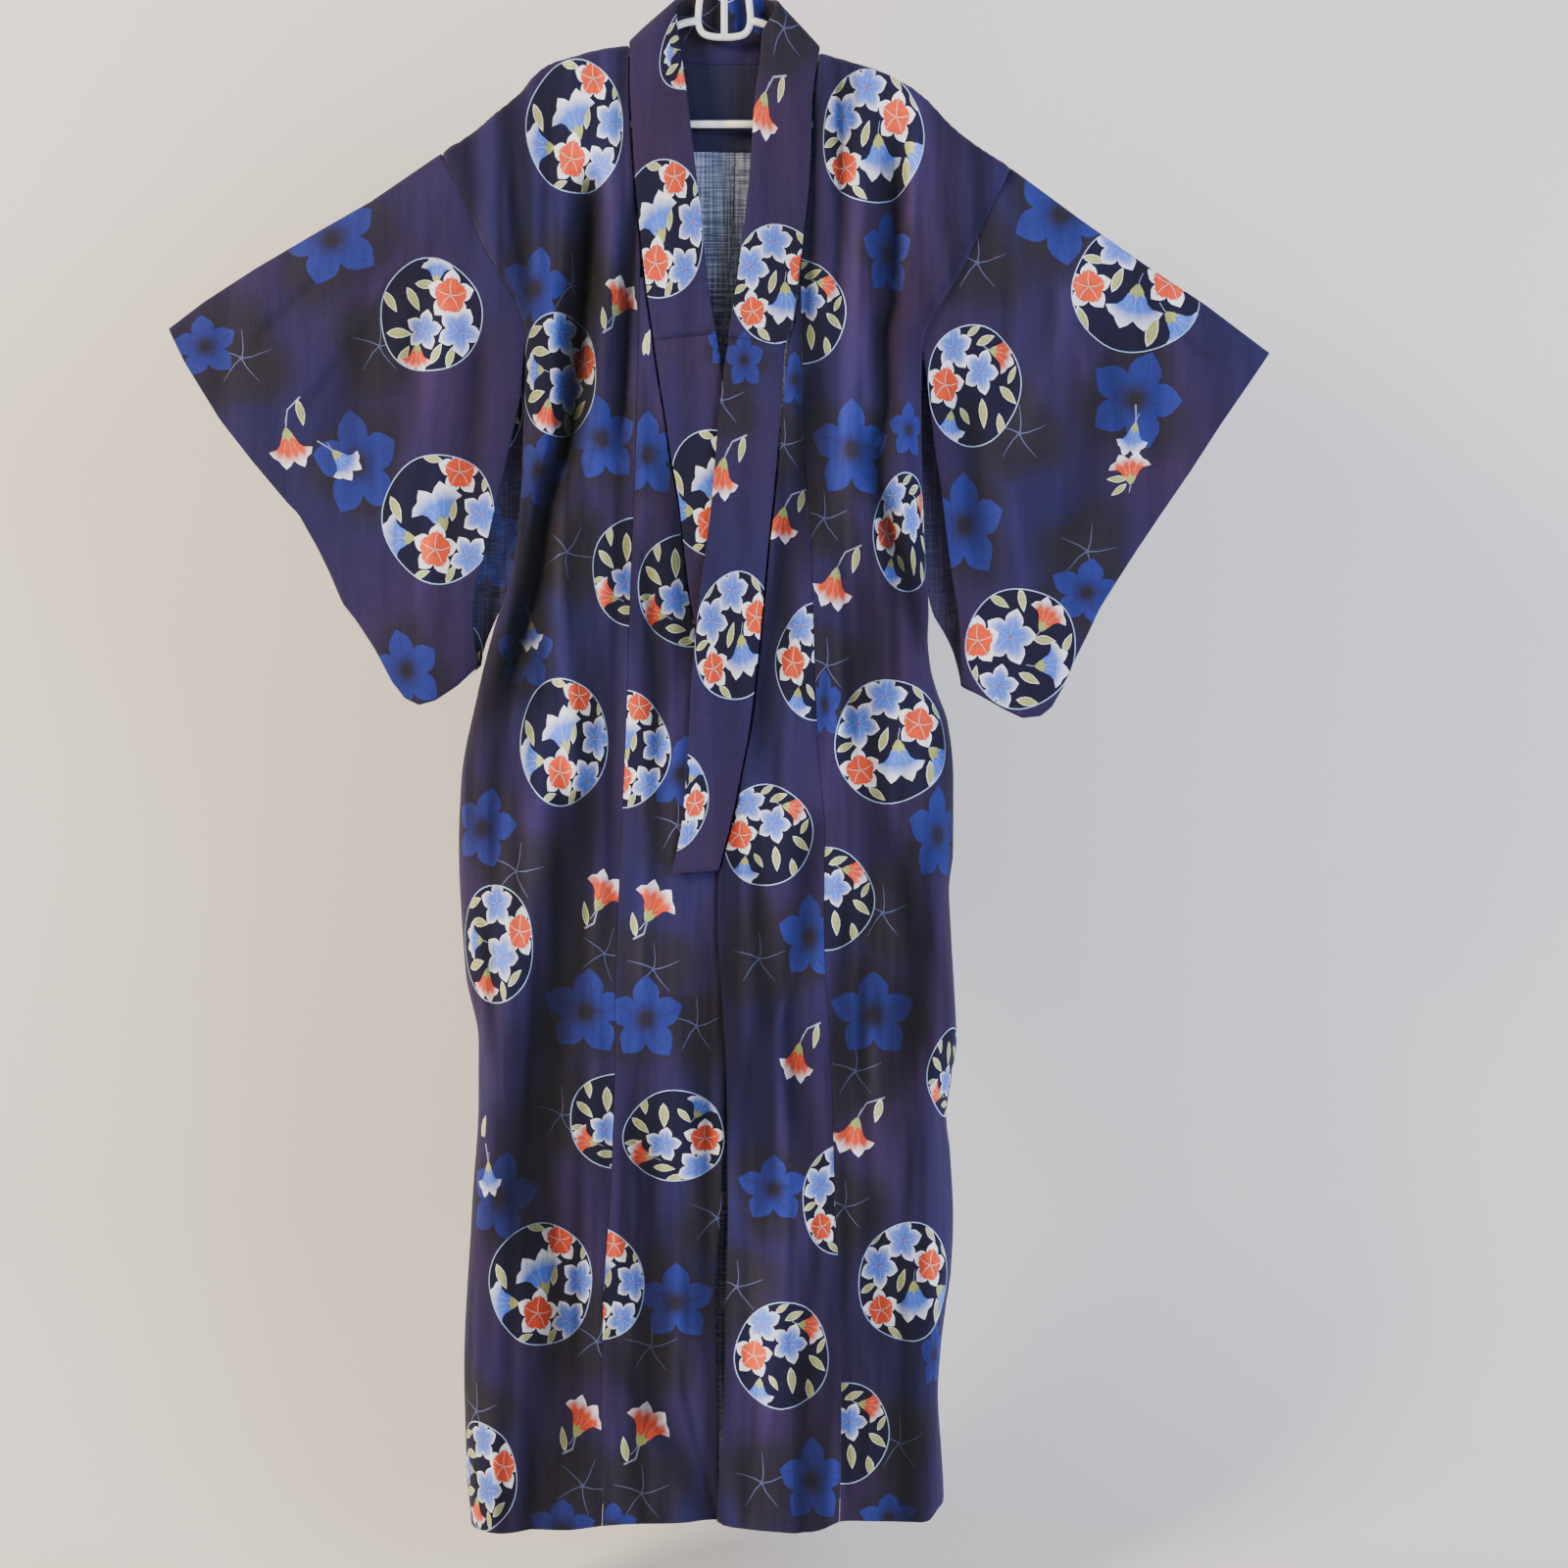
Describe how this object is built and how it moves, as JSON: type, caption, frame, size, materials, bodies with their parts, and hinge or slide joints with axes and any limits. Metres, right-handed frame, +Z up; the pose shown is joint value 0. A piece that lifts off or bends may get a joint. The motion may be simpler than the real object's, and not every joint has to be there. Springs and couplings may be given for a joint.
{
  "type": "yukata robe on a hanger",
  "caption": "Open cotton summer robe with wide bag sleeves, a long collar band and overlap panels, hung flat on a plastic hanger with a plain hook.",
  "frame": {"origin": "where the inside of the hanger's hook bears on a rail", "axes": "+Z up, -Y out of the front of the robe towards the viewer, +X to the viewer's right"},
  "size_m": [1.179, 0.088, 1.7175],
  "materials": {
    "cotton_front": "printed plain weave",
    "cotton_back": "printed plain weave",
    "cotton_sleeve": "printed plain weave",
    "cotton_collar": "printed plain weave",
    "cotton_lining": "plain weave",
    "white_plastic": "smooth moulded"
  },
  "bodies": {
    "root": {"front_right": "cotton_front", "front_left": "cotton_front", "back_right": "cotton_back", "back_left": "cotton_back", "okumi_right": "cotton_front", "okumi_left": "cotton_front", "collar": "cotton_collar", "over_collar": "cotton_collar", "neck_lining": "cotton_lining", "sleeve_right_front": "cotton_sleeve", "sleeve_right_back": "cotton_sleeve", "sleeve_left_front": "cotton_sleeve", "sleeve_left_back": "cotton_sleeve", "hanger": "white_plastic"}
  },
  "joints": []
}
